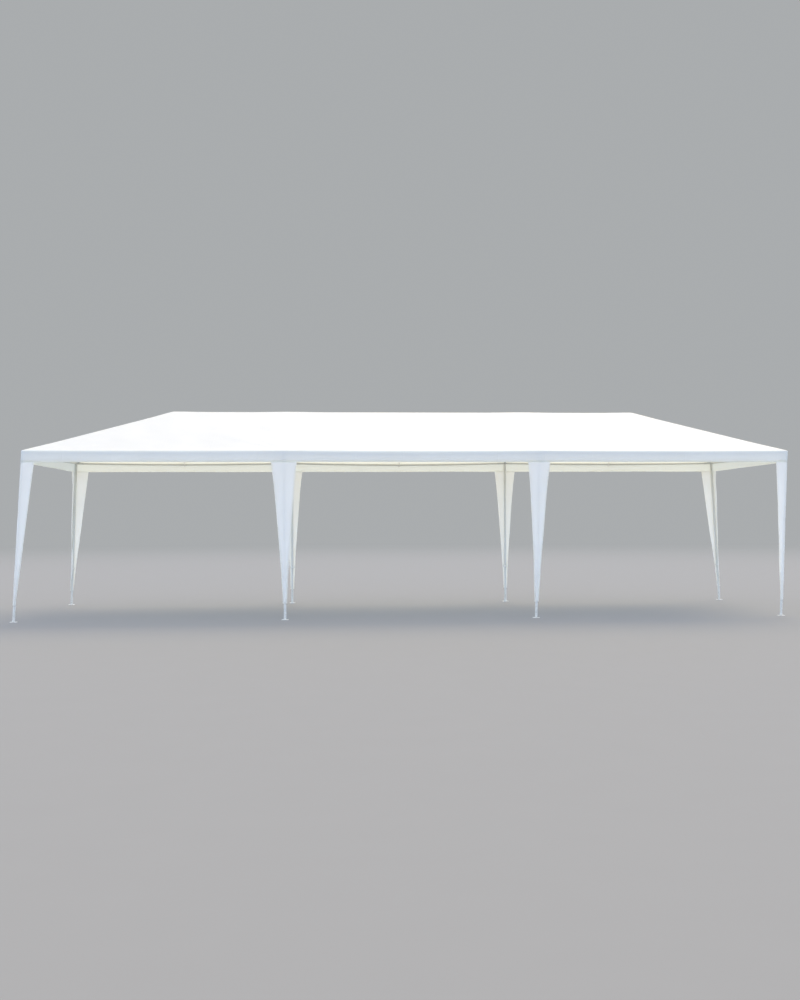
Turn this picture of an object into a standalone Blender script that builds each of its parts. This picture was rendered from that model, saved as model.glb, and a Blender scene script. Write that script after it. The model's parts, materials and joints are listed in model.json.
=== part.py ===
"""Marquee tent: a long party marquee with a hipped fabric roof on a steel tube frame.

Metres, +Z up. The origin is the middle of the plan on the ground, +X runs along the length
and the front looks towards -Y.
"""

import math

import bmesh
import bpy
from mathutils import Matrix, Vector

# Plan and heights of the cover, measured on the outside of the cloth
LENGTH = 9.0
DEPTH = 3.0
RIDGE_LENGTH = 5.92
RIDGE_HEIGHT = 2.55
EAVE_HEIGHT = 1.968
VALANCE_DROP = 0.135
CLOTH = 0.003

# Steel tubes
TUBE_RADIUS = 0.0125
LEG_RADIUS = 0.015
TUBE_WALL = 0.0008
TUBE_SIDES = 12

# Swaged joint where two lengths of tube meet
SWAGE_RAISE = 0.0012
SWAGE_LENGTH = 0.07
LEG_JOINT_HEIGHT = 1.0

# Welded connectors
SOCKET_WALL = 0.0015
SOCKET_START = 0.044
SOCKET_DEPTH = 0.062
HUB_MARGIN = 0.0017

# Foot plates
FOOT_SIDE = 0.08
FOOT_THICKNESS = 0.003
FOOT_CORNER = 0.012

# Clearances
GAP = 0.0003
SEAM_GAP = 0.0004

# Where the mid legs stand along the length, from the middle
MID_LEG_X = 1.5

# How far each foot stands from under its own connector, along the length
FOOT_SHIFT = {
    "front_left": -0.105,
    "front_mid_left": 0.012,
    "front_mid_right": -0.045,
    "front_right": -0.075,
    "back_left": -0.06,
    "back_mid_left": 0.0,
    "back_mid_right": 0.0,
    "back_right": 0.105,
}

# How far each eave beam sags at its mid joint, and how many straight runs its curve has
SAG_STEPS = 6
BEAM_SAG = {
    "front_left_bay": 0.012,
    "front_mid_bay": 0.02,
    "front_right_bay": 0.012,
    "back_left_bay": 0.018,
    "back_mid_bay": 0.024,
    "back_right_bay": 0.016,
    "left_end": 0.012,
    "right_end": 0.012,
}

# Leg covers, sewn to the hem of the valance
COVER_BOTTOM = 0.19
COVER_STEPS = 6
MID_COVER_WIDTH = {
    "front_mid_left": 0.3,
    "front_mid_right": 0.265,
    "back_mid_left": 0.28,
    "back_mid_right": 0.285,
}
MID_COVER_END = 0.046
MID_COVER_TAPER = 1.22
MID_COVER_FLARE = 0.018
FLARE_DROP = 0.4
FLARE_STEPS = 3
CORNER_WING = {
    "front_left": 0.157,
    "front_right": 0.143,
    "back_left": 0.19,
    "back_right": 0.165,
}
CORNER_WING_END = 0.036
CORNER_WING_TAPER = 1.03

# Levels and offsets that follow from the sizes above
HALF_LENGTH = LENGTH / 2
HALF_DEPTH = DEPTH / 2
HALF_RIDGE = RIDGE_LENGTH / 2
HEM_HEIGHT = EAVE_HEIGHT - VALANCE_DROP
RISE = RIDGE_HEIGHT - EAVE_HEIGHT
SIDE_SLOPE = math.atan2(RISE, HALF_DEPTH)
END_SLOPE = math.atan2(RISE, HALF_LENGTH - HALF_RIDGE)
TUBE_SOCKET_RADIUS = TUBE_RADIUS + GAP + SOCKET_WALL
LEG_SOCKET_RADIUS = LEG_RADIUS + GAP + SOCKET_WALL
HUB_RADIUS = max(TUBE_SOCKET_RADIUS, LEG_SOCKET_RADIUS) + HUB_MARGIN
FRAME_INSET = HUB_RADIUS + GAP + CLOTH
ARM_LENGTH = SOCKET_START + SOCKET_DEPTH

# Finishes: colour, roughness, metallic
FRAME_PAINT = ("frame_paint", (0.78, 0.80, 0.80), 0.38, 0.0)
CONNECTOR_PAINT = ("connector_paint", (0.74, 0.76, 0.76), 0.42, 0.0)
ROOF_CLOTH = ("roof_cloth", (0.90, 0.91, 0.91), 0.55, 0.0)
COVER_CLOTH = ("cover_cloth", (0.86, 0.88, 0.89), 0.58, 0.0)

LEG_PLACES = {
    "front_left": (-1, -1, True),
    "front_mid_left": (-1, -1, False),
    "front_mid_right": (1, -1, False),
    "front_right": (1, -1, True),
    "back_left": (-1, 1, True),
    "back_mid_left": (-1, 1, False),
    "back_mid_right": (1, 1, False),
    "back_right": (1, 1, True),
}


def clear_scene():
    for old in list(bpy.data.objects):
        bpy.data.objects.remove(old, do_unlink=True)


def finish(name, colour, roughness, metallic):
    """A Principled material, made once for each name."""
    material = bpy.data.materials.get(name)
    if material is None:
        material = bpy.data.materials.new(name)
        material.use_nodes = True
        shader = material.node_tree.nodes["Principled BSDF"]
        shader.inputs["Base Color"].default_value = (*colour, 1.0)
        shader.inputs["Roughness"].default_value = roughness
        shader.inputs["Metallic"].default_value = metallic
    return material


def new_object(name, bm, look=None, place=Vector((0, 0, 0))):
    """An object from a bmesh whose points are in the tent's frame, with its origin at place."""
    bmesh.ops.translate(bm, verts=bm.verts, vec=-Vector(place))
    bmesh.ops.recalc_face_normals(bm, faces=bm.faces)
    mesh = bpy.data.meshes.new(name)
    bm.to_mesh(mesh)
    bm.free()
    obj = bpy.data.objects.new(name, mesh)
    obj.location = place
    bpy.context.scene.collection.objects.link(obj)
    if look is not None:
        mesh.materials.append(finish(*look))
    return obj


def shade_round(obj):
    """Smooth shading that keeps the edges of steps and end faces."""
    obj.data.shade_smooth()
    obj.data.set_sharp_from_angle(angle=math.radians(40))
    return obj


def cross_axes(direction):
    """Two unit vectors square to a direction, the same pair for it and for its reverse."""
    upright = abs(direction.z) > math.cos(math.radians(30))
    reference = Vector((1, 0, 0)) if upright else Vector((0, 0, 1))
    side = reference.cross(direction).normalized()
    return side, direction.cross(side).normalized()


def add_ring(bm, centre, direction, radius):
    side, up = cross_axes(direction)
    ring = []
    for step in range(TUBE_SIDES):
        angle = math.tau * (step + 0.5) / TUBE_SIDES
        offset = side * math.cos(angle) + up * math.sin(angle)
        ring.append(bm.verts.new(centre + offset * radius))
    return ring


def bridge(bm, first, second):
    for step in range(len(first)):
        following = (step + 1) % len(first)
        bm.faces.new((first[step], first[following], second[following], second[step]))


def add_rod(bm, start, end, radius):
    """A solid round bar between two points."""
    direction = (end - start).normalized()
    low = add_ring(bm, start, direction, radius)
    high = add_ring(bm, end, direction, radius)
    bridge(bm, low, high)
    bm.faces.new(low)
    bm.faces.new(high)


def tangents(points):
    """The direction of a path at each of its points."""
    found = []
    for step in range(len(points)):
        before = points[max(step - 1, 0)]
        after = points[min(step + 1, len(points) - 1)]
        found.append((after - before).normalized())
    return found


def add_pipe(bm, points, radius, swages):
    """A hollow tube along a path, with a raised sleeve around each point named in swages."""
    directions = tangents(points)
    outer = []
    inner = []
    for step, (point, direction) in enumerate(zip(points, directions)):
        if step not in swages:
            outer.append(add_ring(bm, point, direction, radius))
            inner.append(add_ring(bm, point, direction, radius - TUBE_WALL))
            continue
        half = SWAGE_LENGTH / 2
        before = point - (point - points[step - 1]).normalized() * half
        after = point + (points[step + 1] - point).normalized() * half
        inner.append(add_ring(bm, point, direction, radius - TUBE_WALL))
        outer.append(add_ring(bm, before, directions[step - 1], radius))
        outer.append(add_ring(bm, before, directions[step - 1], radius + SWAGE_RAISE))
        outer.append(add_ring(bm, point, direction, radius + SWAGE_RAISE))
        outer.append(add_ring(bm, after, directions[step + 1], radius + SWAGE_RAISE))
        outer.append(add_ring(bm, after, directions[step + 1], radius))
    for rings in (outer, inner):
        for first, second in zip(rings, rings[1:]):
            bridge(bm, first, second)
    bridge(bm, inner[0], outer[0])
    bridge(bm, outer[-1], inner[-1])


def seated_tube(name, path, radius):
    """A tube along a path from hub to hub, whose ends seat in the sockets of the connectors.

    A path with points between its hubs has its joint, with a raised sleeve, at the middle one.
    """
    inset = SOCKET_START + GAP
    first = path[0] + (path[1] - path[0]).normalized() * inset
    last = path[-1] + (path[-2] - path[-1]).normalized() * inset
    middle = len(path) // 2
    swages = {middle} if len(path) > 2 else set()
    bm = bmesh.new()
    add_pipe(bm, [first, *path[1:-1], last], radius, swages)
    place = (path[0] + path[-1]) / 2
    return shade_round(new_object(name, bm, FRAME_PAINT, place))


def combine(name, bodies, cutters, look, place):
    """One solid: the bodies joined, less the cutters. The helpers are removed afterwards."""
    first, *others = bodies
    for operation, helpers in (("UNION", others), ("DIFFERENCE", cutters)):
        for helper in helpers:
            modifier = first.modifiers.new(helper.name, "BOOLEAN")
            modifier.operation = operation
            modifier.solver = "EXACT"
            modifier.object = helper
    bpy.context.view_layer.update()
    evaluated = first.evaluated_get(bpy.context.evaluated_depsgraph_get())
    bm = bmesh.new()
    bm.from_mesh(evaluated.to_mesh())
    evaluated.to_mesh_clear()
    bmesh.ops.transform(bm, matrix=first.matrix_world.copy(), verts=bm.verts)
    for helper in (*bodies, *cutters):
        bpy.data.objects.remove(helper, do_unlink=True)
    return new_object(name, bm, look, place)


def rod_object(name, start, end, radius):
    bm = bmesh.new()
    add_rod(bm, start, end, radius)
    return new_object(name, bm)


def frame_level(from_edge, slope):
    """Height of the frame's centre lines under the cloth, at a distance in from the eave."""
    return EAVE_HEIGHT + from_edge * math.tan(slope) - FRAME_INSET / math.cos(slope)


def lean(place, height):
    """How far a leaning leg stands to one side of its hub, at a height."""
    hub_height = frame_level(FRAME_INSET, SIDE_SLOPE)
    return FOOT_SHIFT[place] * (hub_height - height) / hub_height


def eave_hub(place):
    x_side, y_side, corner = LEG_PLACES[place]
    x = HALF_LENGTH - FRAME_INSET if corner else MID_LEG_X
    y = HALF_DEPTH - FRAME_INSET
    return Vector((x_side * x, y_side * y, frame_level(FRAME_INSET, SIDE_SLOPE)))


def ridge_hub(x):
    return Vector((x, 0, frame_level(HALF_DEPTH, SIDE_SLOPE)))


def foot_point(place):
    hub = eave_hub(place)
    return Vector((hub.x + FOOT_SHIFT[place], hub.y, 0))


def sag_path(start, end, sag):
    """Points from hub to hub along a beam that sags in a smooth curve."""
    path = []
    for step in range(SAG_STEPS + 1):
        share = step / SAG_STEPS
        drop = sag * (1 - (2 * share - 1) ** 2)
        path.append(start.lerp(end, share) - Vector((0, 0, drop)))
    return path


def eave_beams():
    """Name, the places of both ends and the path of each eave beam."""
    spans = []
    for row in ("front", "back"):
        spans.append((f"{row}_left_bay", f"{row}_left", f"{row}_mid_left"))
        spans.append((f"{row}_mid_bay", f"{row}_mid_left", f"{row}_mid_right"))
        spans.append((f"{row}_right_bay", f"{row}_mid_right", f"{row}_right"))
    for end in ("left", "right"):
        spans.append((f"{end}_end", f"front_{end}", f"back_{end}"))
    beams = []
    for name, first, second in spans:
        path = sag_path(eave_hub(first), eave_hub(second), BEAM_SAG[name])
        beams.append((name, first, second, path))
    return beams


def make_beams():
    for name, _, _, path in eave_beams():
        seated_tube(f"eave_beam_{name}", path, TUBE_RADIUS)


def make_ridge():
    stops = (-HALF_RIDGE, -MID_LEG_X, MID_LEG_X, HALF_RIDGE)
    for name, start, end in zip(("left", "mid", "right"), stops, stops[1:]):
        path = [ridge_hub(start), ridge_hub(end)]
        if name == "mid":
            path.insert(1, ridge_hub(0))
        seated_tube(f"ridge_tube_{name}", path, TUBE_RADIUS)


def ridge_end_of(place):
    """The ridge hub that a leg's rafter climbs to."""
    x_side, _, corner = LEG_PLACES[place]
    return ridge_hub(x_side * (HALF_RIDGE if corner else MID_LEG_X))


def make_rafters():
    for place, (_, _, corner) in LEG_PLACES.items():
        kind = "hip_rafter" if corner else "rafter"
        path = [eave_hub(place), ridge_end_of(place)]
        seated_tube(f"{kind}_{place}", path, TUBE_RADIUS)


def foot_plate(name, centre):
    """A square plate with cut corners, flat on the ground."""
    half = FOOT_SIDE / 2
    cut = half - FOOT_CORNER
    outline = []
    for x_side, y_side in ((1, 1), (-1, 1), (-1, -1), (1, -1)):
        near_x = Vector((x_side * half, y_side * cut, 0))
        near_y = Vector((x_side * cut, y_side * half, 0))
        outline += [near_x, near_y] if x_side == y_side else [near_y, near_x]
    bm = bmesh.new()
    bottom = [bm.verts.new(centre + corner) for corner in outline]
    lift = Vector((0, 0, FOOT_THICKNESS))
    top = [bm.verts.new(centre + corner + lift) for corner in outline]
    bridge(bm, bottom, top)
    bm.faces.new(bottom)
    bm.faces.new(top)
    return new_object(name, bm)


def make_legs():
    for place in LEG_PLACES:
        hub, foot = eave_hub(place), foot_point(place)
        down = (foot - hub).normalized()
        top = hub + down * (SOCKET_START + GAP)
        joint = hub + down * ((hub.z - LEG_JOINT_HEIGHT) / -down.z)
        bottom = foot - down * (FOOT_THICKNESS / 2)
        bm = bmesh.new()
        add_pipe(bm, [top, joint, bottom], LEG_RADIUS, {1})
        tube = new_object("leg_tube", bm)
        plate = foot_plate("leg_plate", foot)
        shade_round(combine(f"leg_{place}", [plate, tube], [], FRAME_PAINT, foot))


def connector(name, hub, tube_ends, leg_foot=None):
    """A welded hub with one socket towards each tube end, and one for the leg."""
    arms = [((end - hub).normalized(), TUBE_RADIUS) for end in tube_ends]
    if leg_foot is not None:
        arms.append(((leg_foot - hub).normalized(), LEG_RADIUS))
    bm = bmesh.new()
    bmesh.ops.create_icosphere(
        bm, subdivisions=2, radius=HUB_RADIUS, matrix=Matrix.Translation(hub)
    )
    bodies = [new_object("hub", bm)]
    bores = []
    for direction, radius in arms:
        tip = hub + direction * ARM_LENGTH
        past = hub + direction * (ARM_LENGTH + SOCKET_WALL)
        bottom = hub + direction * SOCKET_START
        bodies.append(rod_object("arm", hub, tip, radius + GAP + SOCKET_WALL))
        bores.append(rod_object("bore", bottom, past, radius + GAP))
    return shade_round(combine(name, bodies, bores, CONNECTOR_PAINT, hub))


def make_eave_connectors():
    for place, (_, _, corner) in LEG_PLACES.items():
        hub = eave_hub(place)
        ends = [ridge_end_of(place)]
        for _, first, second, path in eave_beams():
            if place == first:
                ends.append(path[1])
            if place == second:
                ends.append(path[-2])
        kind = "corner_connector" if corner else "eave_connector"
        connector(f"{kind}_{place}", hub, ends, foot_point(place))


def make_ridge_connectors():
    for side, x_side in (("left", -1), ("right", 1)):
        peak = ridge_hub(x_side * HALF_RIDGE)
        tee = ridge_hub(x_side * MID_LEG_X)
        hips = [eave_hub(f"{row}_{side}") for row in ("front", "back")]
        rafters = [eave_hub(f"{row}_mid_{side}") for row in ("front", "back")]
        connector(f"peak_connector_{side}", peak, [tee, *hips])
        connector(f"ridge_connector_{side}", tee, [peak, ridge_hub(0), *rafters])


def slab(name, outer, inner, look):
    """A thin solid between two outlines that have the same number of points."""
    bm = bmesh.new()
    near = [bm.verts.new(point) for point in outer]
    far = [bm.verts.new(point) for point in inner]
    bridge(bm, near, far)
    bm.faces.new(near)
    bm.faces.new(far)
    place = sum(outer, Vector()) / len(outer)
    return new_object(name, bm, look, place)


def make_roof_panels():
    side_drop = Vector((0, 0, CLOTH / math.cos(SIDE_SLOPE)))
    end_drop = Vector((0, 0, CLOTH / math.cos(END_SLOPE)))
    foot_x = HALF_LENGTH - SEAM_GAP
    top_x = HALF_RIDGE - SEAM_GAP
    for name, side in (("front", -1), ("back", 1)):
        eave_y = side * HALF_DEPTH
        ridge_y = side * SEAM_GAP / 2
        outer = [
            Vector((-foot_x, eave_y, EAVE_HEIGHT)),
            Vector((foot_x, eave_y, EAVE_HEIGHT)),
            Vector((top_x, ridge_y, RIDGE_HEIGHT)),
            Vector((-top_x, ridge_y, RIDGE_HEIGHT)),
        ]
        slab(f"roof_{name}", outer, [point - side_drop for point in outer], ROOF_CLOTH)
    for name, side in (("left", -1), ("right", 1)):
        eave_x = side * HALF_LENGTH
        outer = [
            Vector((eave_x, -HALF_DEPTH, EAVE_HEIGHT)),
            Vector((eave_x, HALF_DEPTH, EAVE_HEIGHT)),
            Vector((side * HALF_RIDGE, 0, RIDGE_HEIGHT)),
        ]
        slab(f"roof_{name}", outer, [point - end_drop for point in outer], ROOF_CLOTH)


def cloth_corner(place, height):
    """The outer corner of the cover at a corner leg: it follows the leg as it leans."""
    x_side, y_side, _ = LEG_PLACES[place]
    return Vector((x_side * HALF_LENGTH + lean(place, height), y_side * HALF_DEPTH, height))


def make_valances():
    top = EAVE_HEIGHT - CLOTH / math.cos(SIDE_SLOPE) - GAP
    levels = (HEM_HEIGHT, top)
    for row, side in (("front", -1), ("back", 1)):
        outer = []
        for place, heights in ((f"{row}_left", levels), (f"{row}_right", levels[::-1])):
            x_side = LEG_PLACES[place][0]
            seam = Vector((-x_side * SEAM_GAP, 0, 0))
            outer += [cloth_corner(place, height) + seam for height in heights]
        inner = []
        for point in outer:
            x_side = math.copysign(1, point.x)
            inner.append(point - Vector((x_side * CLOTH, side * CLOTH, 0)))
        slab(f"valance_{row}", outer, inner, COVER_CLOTH)
    for end, side in (("left", -1), ("right", 1)):
        outer = []
        for place, heights in ((f"front_{end}", levels), (f"back_{end}", levels[::-1])):
            outer += [cloth_corner(place, height) for height in heights]
        inner = []
        for point in outer:
            y_side = math.copysign(1, point.y)
            inner.append(point - Vector((side * CLOTH, y_side * CLOTH, 0)))
        slab(f"valance_{end}", outer, inner, COVER_CLOTH)


def cover_width(height, at_hem, at_end, taper, flare=0.0):
    """Width of a leg cover: it tapers down the leg, and may flare out towards the hem."""
    share = (height - COVER_BOTTOM) / (HEM_HEIGHT - COVER_BOTTOM)
    rise = max(0.0, 1 - (HEM_HEIGHT - height) / FLARE_DROP)
    return at_end + (at_hem - flare - at_end) * share**taper + flare * rise**2


def cover_levels():
    """Heights at which a leg cover's outline has a point, from its bottom to the hem."""
    top = HEM_HEIGHT - GAP
    shoulder = top - FLARE_DROP
    rise = shoulder - COVER_BOTTOM
    levels = [COVER_BOTTOM + rise * step / COVER_STEPS for step in range(COVER_STEPS)]
    return levels + [shoulder + FLARE_DROP * step / FLARE_STEPS for step in range(FLARE_STEPS + 1)]


def loft(name, outlines, look, place):
    """A solid through a stack of outlines, closed at both ends."""
    bm = bmesh.new()
    rings = [[bm.verts.new(point) for point in outline] for outline in outlines]
    for first, second in zip(rings, rings[1:]):
        bridge(bm, first, second)
    bm.faces.new(rings[0])
    bm.faces.new(rings[-1])
    return new_object(name, bm, look, place)


def make_mid_covers():
    for place, width in MID_COVER_WIDTH.items():
        x_side, y_side, _ = LEG_PLACES[place]
        outlines = []
        for height in cover_levels():
            half = cover_width(height, width, MID_COVER_END, MID_COVER_TAPER, MID_COVER_FLARE) / 2
            x = x_side * MID_LEG_X + lean(place, height)
            outer_y = y_side * HALF_DEPTH
            inner_y = y_side * (HALF_DEPTH - CLOTH)
            corners = (
                (x - half, outer_y),
                (x + half, outer_y),
                (x + half, inner_y),
                (x - half, inner_y),
            )
            outlines.append([Vector((*corner, height)) for corner in corners])
        hang = Vector((x_side * MID_LEG_X, y_side * HALF_DEPTH, HEM_HEIGHT))
        loft(f"leg_cover_{place}", outlines, COVER_CLOTH, hang)


def make_corner_covers():
    for place, width in CORNER_WING.items():
        x_side, y_side, _ = LEG_PLACES[place]
        outlines = []
        for height in cover_levels():
            wing = cover_width(height, width, CORNER_WING_END, CORNER_WING_TAPER)
            corner = cloth_corner(place, height)
            steps = (
                (0, 0),
                (wing, 0),
                (wing, CLOTH),
                (CLOTH, CLOTH),
                (CLOTH, wing),
                (0, wing),
            )
            outlines.append(
                [corner - Vector((x_side * x, y_side * y, 0)) for x, y in steps]
            )
        hang = Vector((x_side * HALF_LENGTH, y_side * HALF_DEPTH, HEM_HEIGHT))
        loft(f"leg_cover_{place}", outlines, COVER_CLOTH, hang)


def main():
    clear_scene()
    make_legs()
    make_beams()
    make_ridge()
    make_rafters()
    make_eave_connectors()
    make_ridge_connectors()
    make_roof_panels()
    make_valances()
    make_mid_covers()
    make_corner_covers()


main()
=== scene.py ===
"""Looks of a long party marquee: one sewn cover stretched over a steel tube frame.

Metres, +Z up, +X along the length, and the front looks towards -Y. Every place and size of the
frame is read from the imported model, so the cloth sits on the tubes that carry it.
"""

import json
import math

import bmesh
import bpy
import numpy as np
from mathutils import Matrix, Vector


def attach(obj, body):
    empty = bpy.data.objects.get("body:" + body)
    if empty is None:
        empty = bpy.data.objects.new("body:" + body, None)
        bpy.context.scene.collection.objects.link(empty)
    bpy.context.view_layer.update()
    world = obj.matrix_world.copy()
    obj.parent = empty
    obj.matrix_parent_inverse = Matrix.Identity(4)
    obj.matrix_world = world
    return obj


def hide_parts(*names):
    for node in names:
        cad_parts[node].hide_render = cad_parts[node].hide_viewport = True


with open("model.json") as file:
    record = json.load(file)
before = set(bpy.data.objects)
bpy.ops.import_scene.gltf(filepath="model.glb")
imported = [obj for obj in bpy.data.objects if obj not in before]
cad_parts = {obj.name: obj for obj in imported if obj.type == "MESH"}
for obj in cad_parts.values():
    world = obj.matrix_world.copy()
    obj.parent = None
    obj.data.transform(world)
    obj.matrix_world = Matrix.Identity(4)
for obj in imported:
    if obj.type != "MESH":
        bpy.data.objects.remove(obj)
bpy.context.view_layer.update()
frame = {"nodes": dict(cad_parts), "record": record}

BODY = "root"

# Camera, solved from the ridge, eaves, hems and feet in the photograph
CAMERA_PLACE = (-0.927, -16.032, 1.162)
CAMERA_TURN = 3.866
CAMERA_TILT = 0.891
CAMERA_ROLL = 0.200
CAMERA_SHIFT = -0.0174
FOCAL_LENGTH = 44.81
SENSOR = 36.0

# Light
SUN_STRENGTH = 2.0
SUN_COLOUR = (1.0, 0.80, 0.49)
SUN_SOFTNESS = 40.0
SUN_ELEVATION = 52.0
SUN_AZIMUTH = 25.0
SKY_STRENGTH = 2.2
HORIZON_COLOUR = (0.48, 0.67, 1.0)
OVERHEAD_COLOUR = (0.60, 0.567, 0.56)
HORIZON_TOP = 0.15
OVERHEAD_START = 0.65

# Stage: the floor fades into the backdrop well behind the tent
FLOOR_COLOUR = (0.213, 0.22, 0.228)
FLOOR_GLOW = 0.16
BACKDROP_COLOUR = (0.40, 0.415, 0.425)
FLOOR_HALF = 150.0
FADE_START = 13.0
FADE_END = 42.0

# Mesh of the cover
CELLS_UP_SLOPE = 60
FOLD_STEPS = 6
VALANCE_ROWS = 10
FOLD_RADIUS = 0.014
FOLD_RADIUS_PER_SAG = 0.3
FOLD_SAG_SHARE = 0.2
CORNER_RADIUS = 0.024
HIP_ROUNDING = 0.02
RIDGE_ROUNDING = 0.006

# How the cover hangs between the tubes
PANEL_SAG = 0.018
REST_DIP = 0.005
HUB_REACH = 0.5
TUBE_REACH = 0.2
DROP_FADE = 0.35
EDGE_FADE = 0.16
LEG_HOLD = 0.15
LEG_HOLD_FADE = 0.4
HANG_POWER = 1.3

# Waves in the cloth: their heights, then the share, length and seed of each layer
WAVE_HEIGHT = 0.0024
VALANCE_WAVE = 0.0022
HEM_WAVE = 0.0009
ROOF_LAYERS = ((1.0, 0.75, 11), (0.5, 0.3, 12))
VALANCE_LAYERS = ((1.0, 0.62, 21), (0.45, 0.24, 22))
HEM_LAYERS = ((1.0, 1.3, 23),)
WAVES_IN_LAYER = 9
PITCH_SPREAD = (0.65, 1.6)

# Folds that fan out from where the frame holds the cover: their number, height and reach, and
# how much they wander and vary, how often in a turn, and by how much that shifts from fan to fan
CORNER_FAN = (26, 0.0042, 0.62)
MID_FAN = (18, 0.0042, 0.5)
RIDGE_FAN = (12, 0.0016, 0.45)
FAN_WANDER = ((1.3, 2, 1.0), (0.9, 3, 2.1))
FAN_VARIES = (0.5, 5, 1.7)
FAN_START = 0.14

# Hems
HEM_WIDTH = 0.02
COVER_HEM_WIDTH = 0.012
CLOTH_FOLD = 0.0012
HEM_EDGE = 0.0005
HEM_TURN = 0.4

# Angles past which an edge is shaded sharp
CLOTH_SHARP = 40.0
SOLID_SHARP = 50.0

# Leg covers: flat above one height, and bent round the pole more and more down to another
COVER_ROWS = 84
COVER_COLUMNS = 24
CORNER_STEPS = 6
COVER_TUCK = 0.008
COVER_INSET = 0.0012
COVER_BEND = 1 / 0.034
BEND_START = 1.0
BEND_END = 0.3
END_BEND = 1 / 0.85
END_BEND_FADE = 0.2
COVER_WAVE = 0.0026
RIPPLE_LENGTH = 0.16
RIPPLE_STRETCH = 4
RIPPLE_POWER = 0.6
SLOW_RIPPLE = 0.6
SLOW_LENGTH = 0.5
SLOW_SEED = 100
COVER_SEED = 60

# Webbing straps round the legs, and ties round the eave beams
STRAP_HEIGHT = 0.5
STRAP_HALF_WIDTH = 0.01
STRAP_THICKNESS = 0.0014
STRAP_REACH = 0.03
STRAP_EDGE = 0.008
TIE_HALF_WIDTH = 0.0075
TIE_DROP = 0.03
TIE_REACH = 0.065
CORNER_WRAP = (-60, 150)
MID_WRAP = (-12, 192)
TIE_WRAP = (-130, 15)
ARC_STEPS = 12

# Spring buttons in the sockets, and weld beads at the feet
BUTTON_RADIUS = 0.0032
BUTTON_RISE = 0.0024
BUTTON_BACK = 0.018
BUTTON_STEPS = 12
BUTTON_RINGS = 4
ASKEW = (0.31, 0.87, 0.38)
WELD_RADIUS = 0.0024
WELD_STEPS = 28
WELD_SIDES = 8
WELD_LUMPS = 9
WELD_UNEVEN = 0.12

# Colours: on the cloth, then what it lets through, and how much of the light
# The roof and the leg covers are one fabric. The roof's colour is bluer and darker, painting in the blue
# shade of the skylit valance. The covers' colour is lighter, painting in light that the cloth would let
# through from behind.
ROOF_SHADE_TINTED_COLOUR = (0.86, 0.91, 0.97)
ROOF_THROUGH = (0.95, 0.93, 0.74)
ROOF_SHARE = 0.42
COVER_LIT_COLOUR = (0.94, 0.94, 0.92)
COVER_THROUGH = (0.95, 0.94, 0.82)
COVER_SHARE = 0.30
SEAM_LOSS = 0.12
DUST_COLOUR = (0.50, 0.49, 0.40)
WEBBING_COLOUR = (0.93, 0.93, 0.90)
TUBE_COLOUR = (0.72, 0.73, 0.69)
JOINT_COLOUR = (0.68, 0.69, 0.66)
SOIL_COLOUR = (0.20, 0.17, 0.12)
WORN_COLOUR = (0.46, 0.47, 0.47)
ZINC_COLOUR = (0.66, 0.67, 0.68)
DULL_COLOUR = (0.50, 0.51, 0.52)

# Weave, stitches and fold lines, and the webbing's ribs
TAPE_PITCH = 0.0022
LAYER_EDGE = 0.0015
SEAM_HALF = 0.009
SEAM_STITCH = 0.006
HEM_STITCH = 0.003
STITCH_PITCH = 0.006
THREAD_EDGES = (0.0004, 0.0011)
DASH_EDGES = (-0.55, -0.1)
CREASES = (("warp", 0.56, 0.11), ("weft", 0.5, 0.25))
CREASE_WIDTH = 0.008
RIB_PITCH = 0.0016
HERRINGBONE = 0.0025

# Tolerances and bands for reading the solids' points
TOUCH = 0.001
TINY = 1e-9
END_BAND = 0.01
SLEEVE_REACH = 0.05
SOCKET_RIM = 0.006
LEVEL_DIGITS = 4

PLACES = [
    f"{row}_{along}"
    for row in ("front", "back")
    for along in ("left", "mid_left", "mid_right", "right")
]
CORNERS = [place for place in PLACES if "mid" not in place]


# Reading the frame


def points_of(node):
    return np.array([vertex.co for vertex in frame["nodes"][node].data.vertices])


def cover_sizes():
    """Half length, half depth, half ridge, and the eave, ridge and hem levels of the cover."""
    end_panel = points_of("roof_right")
    outer = end_panel[:, 0] > end_panel[:, 0].max() - TOUCH
    return (
        end_panel[:, 0].max(),
        end_panel[:, 1].max(),
        end_panel[:, 0].min(),
        end_panel[outer, 2].max(),
        end_panel[:, 2].max(),
        points_of("valance_front")[:, 2].min(),
    )


HALF_LENGTH, HALF_DEPTH, HALF_RIDGE, EAVE, RIDGE, HEM = cover_sizes()
PITCH = (RIDGE - EAVE) / HALF_DEPTH
END_STRETCH = (HALF_LENGTH - HALF_RIDGE) / HALF_DEPTH
FOLD_TURN = math.pi / 2 - math.atan(PITCH)
X_SIGN = {place: -1 if place.endswith("left") else 1 for place in PLACES}
Y_SIGN = {place: -1 if place.startswith("front") else 1 for place in PLACES}


def leg_axis(place):
    """The foot's centre and the middle of the top end of a leg."""
    mounts = {mount["name"]: mount["pos_m"] for mount in frame["record"]["mounts"]}
    points = points_of(f"leg_{place}")
    top = points[points[:, 2] > points[:, 2].max() - END_BAND].mean(axis=0)
    return np.array(mounts[f"foot_{place}"]), top


LEG_AXES = {place: leg_axis(place) for place in PLACES}


def leg_x(place, height):
    """Where a leaning leg's centre line stands along the length, at a height."""
    foot, top = LEG_AXES[place]
    return foot[0] + (top[0] - foot[0]) * height / top[2]


def hub(place):
    """The middle of the connector over a leg."""
    y = LEG_AXES[place][0][1]
    inset = HALF_DEPTH - abs(y)
    height = EAVE + inset * PITCH - inset * math.hypot(1, PITCH)
    return np.array([leg_x(place, height), y, height])


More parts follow.
